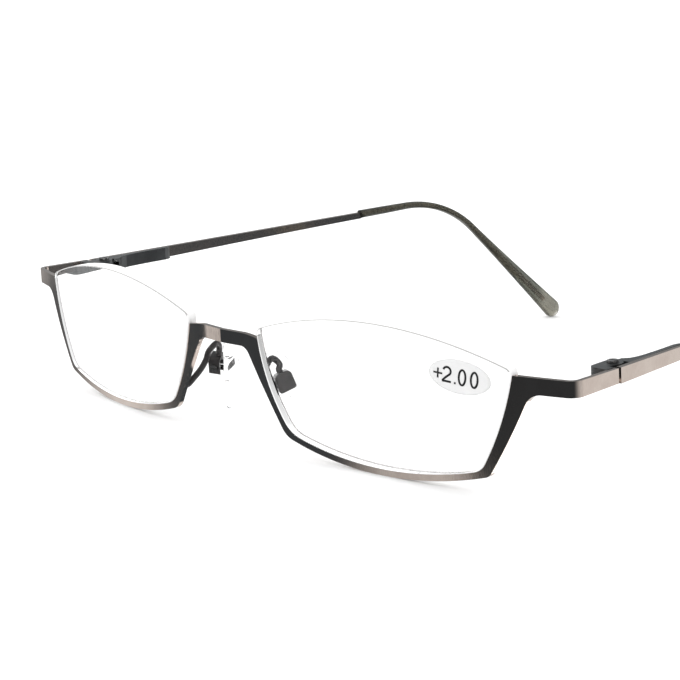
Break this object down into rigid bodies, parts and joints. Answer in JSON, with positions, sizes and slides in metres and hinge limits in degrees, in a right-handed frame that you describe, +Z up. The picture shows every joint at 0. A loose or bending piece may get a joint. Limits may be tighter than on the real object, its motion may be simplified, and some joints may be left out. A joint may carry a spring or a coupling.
{
  "type": "half-frame reading glasses",
  "caption": "Reading glasses with a pressed metal half-rim front, free-topped clear lenses, sprung hinges, rocking nose pads and slim temples with drooping plastic tips.",
  "frame": {"origin": "on the surface the glasses stand on, midway between the lens fronts and the tip ends, in the middle plane", "axes": "+X to the wearer's left, +Y back towards the ears, +Z up as the glasses stand on their half-rims and tips"},
  "size_m": [0.1388, 0.1446, 0.0282],
  "materials": {
    "frame_metal": "brushed gunmetal with a light sheen",
    "hinge_metal": "plated gunmetal, satin",
    "screw": "turned steel",
    "lens": "clear, polished",
    "tip_plastic": "dark translucent, polished",
    "pad_plastic": "clear soft pad",
    "core_plastic": "clear stiff insert"
  },
  "bodies": {
    "front": {"front_frame": "frame_metal", "left_lens": "lens", "left_hinge_block": "hinge_metal", "left_hinge_screw": "screw", "left_pad_arm": "hinge_metal", "left_pad_box": "hinge_metal", "left_pad_screw": "screw", "right_lens": "lens", "right_hinge_block": "hinge_metal", "right_hinge_screw": "screw", "right_pad_arm": "hinge_metal", "right_pad_box": "hinge_metal", "right_pad_screw": "screw"},
    "left_slider": {"left_hinge_slider": "screw", "left_hinge_spring": "screw"},
    "left_temple": {"left_temple": "frame_metal", "left_hinge_housing": "hinge_metal", "left_temple_tip": "tip_plastic"},
    "left_pad": {"left_pad_core": "core_plastic", "left_nose_pad": "pad_plastic"},
    "right_slider": {"right_hinge_slider": "screw", "right_hinge_spring": "screw"},
    "right_temple": {"right_temple": "frame_metal", "right_hinge_housing": "hinge_metal", "right_temple_tip": "tip_plastic"},
    "right_pad": {"right_pad_core": "core_plastic", "right_nose_pad": "pad_plastic"}
  },
  "joints": [
    {"name": "left_temple_fold", "type": "hinge", "parent": "front", "child": "left_slider", "pos_m": [0.0656, -0.04797, 0.0199], "axis": [0, -0.0932, 0.9957], "range_deg": [-10, 80.5]},
    {"name": "right_temple_fold", "type": "hinge", "parent": "front", "child": "right_slider", "pos_m": [-0.0656, -0.04797, 0.0199], "axis": [0, 0.0932, -0.9957], "range_deg": [-10, 84]},
    {"name": "left_spring_slide", "type": "slide", "parent": "left_slider", "child": "left_temple", "axis": [-0.0941, 0.9912, 0.0928], "range_m": [0, 0.0009], "stiffness_N_per_m": 400},
    {"name": "right_spring_slide", "type": "slide", "parent": "right_slider", "child": "right_temple", "axis": [0.0941, 0.9912, 0.0928], "range_m": [0, 0.0009], "stiffness_N_per_m": 400},
    {"name": "left_pad_rock", "type": "hinge", "parent": "front", "child": "left_pad", "pos_m": [0.0096, -0.06499, 0.01129], "axis": [0.4513, 0.7902, 0.4146], "range_deg": [-8, 8]},
    {"name": "right_pad_rock", "type": "hinge", "parent": "front", "child": "right_pad", "pos_m": [-0.0096, -0.06499, 0.01129], "axis": [-0.4513, 0.7902, 0.4146], "range_deg": [-8, 8]}
  ]
}
